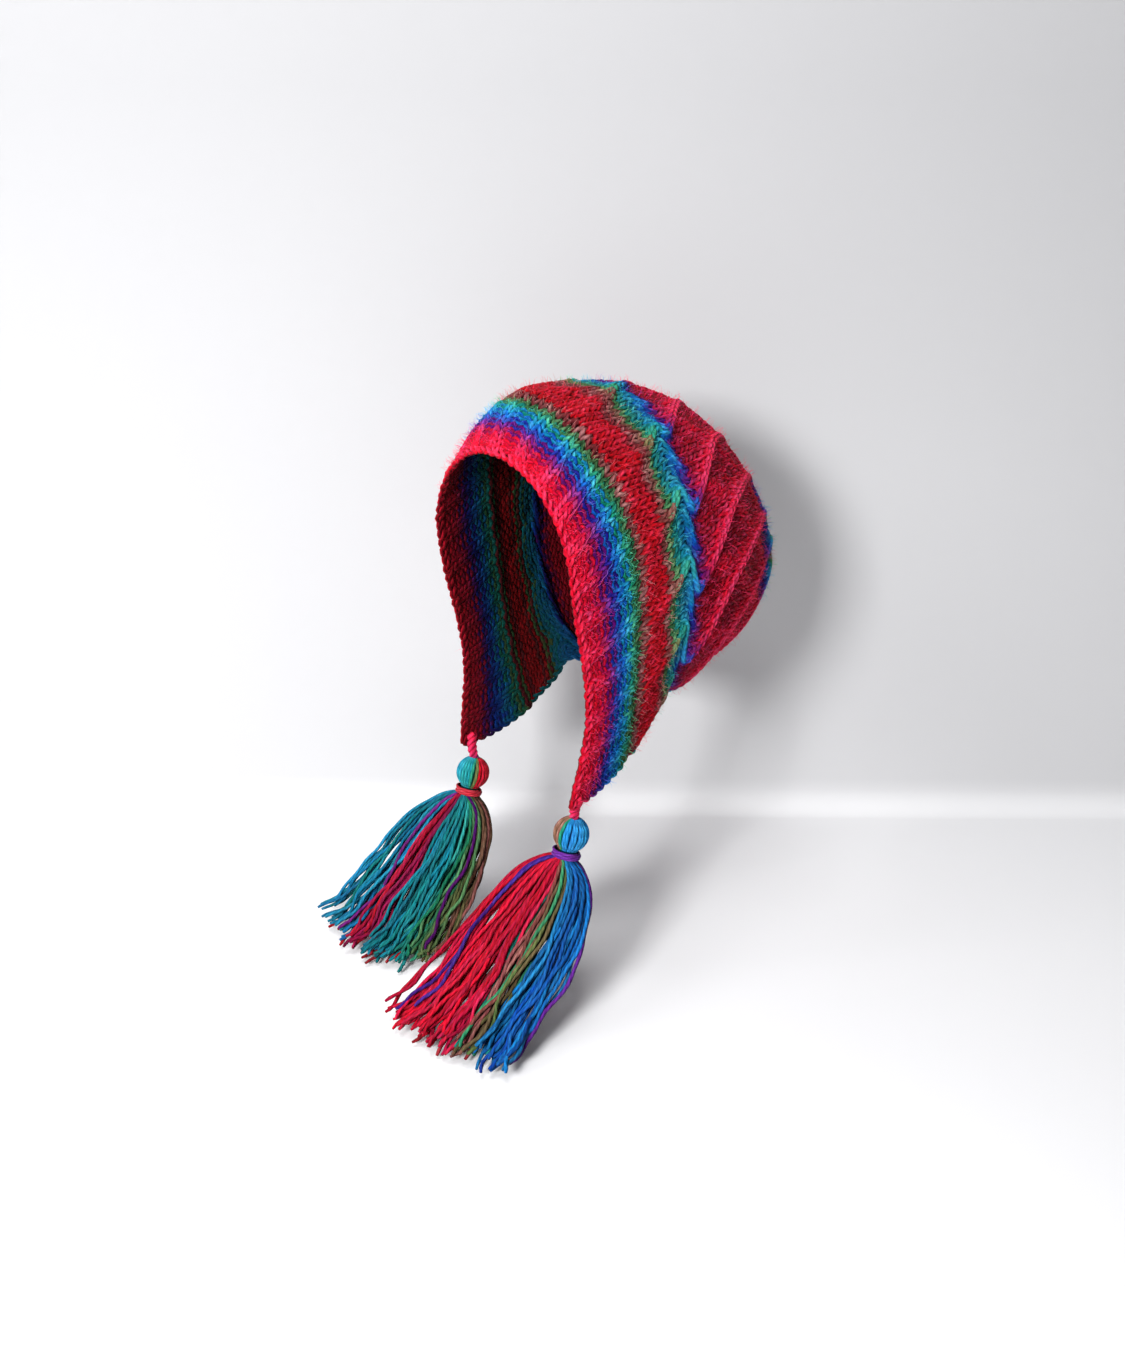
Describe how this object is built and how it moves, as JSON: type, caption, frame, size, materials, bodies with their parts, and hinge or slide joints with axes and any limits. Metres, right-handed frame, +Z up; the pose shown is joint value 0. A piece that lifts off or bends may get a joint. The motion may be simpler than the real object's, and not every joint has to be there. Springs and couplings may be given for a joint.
{
  "type": "ear-flap beanie",
  "caption": "Knitted beanie with a ribbed face band, ear flaps, a slouched gathered back and a yarn tassel hanging from each flap on a short tie.",
  "frame": {"origin": "the inside of the crown where the top of the head bears", "axes": "the wearer faces -Y, +X is the wearer's left, +Z up"},
  "size_m": [0.2652, 0.3699, 0.4079],
  "materials": {
    "crown_knit": "hand-knitted striped wool",
    "band_knit": "ribbed striped wool",
    "tie_yarn": "twisted wool",
    "left_tassel_yarn": "loose wool yarn",
    "right_tassel_yarn": "loose wool yarn",
    "left_binding_yarn": "wound wool yarn",
    "right_binding_yarn": "wound wool yarn"
  },
  "bodies": {
    "root": {"crown": "crown_knit", "face_band": "band_knit", "left_tie": "tie_yarn", "right_tie": "tie_yarn", "left_tassel": "left_tassel_yarn", "right_tassel": "right_tassel_yarn", "left_tassel_binding": "left_binding_yarn", "right_tassel_binding": "right_binding_yarn"}
  },
  "joints": []
}
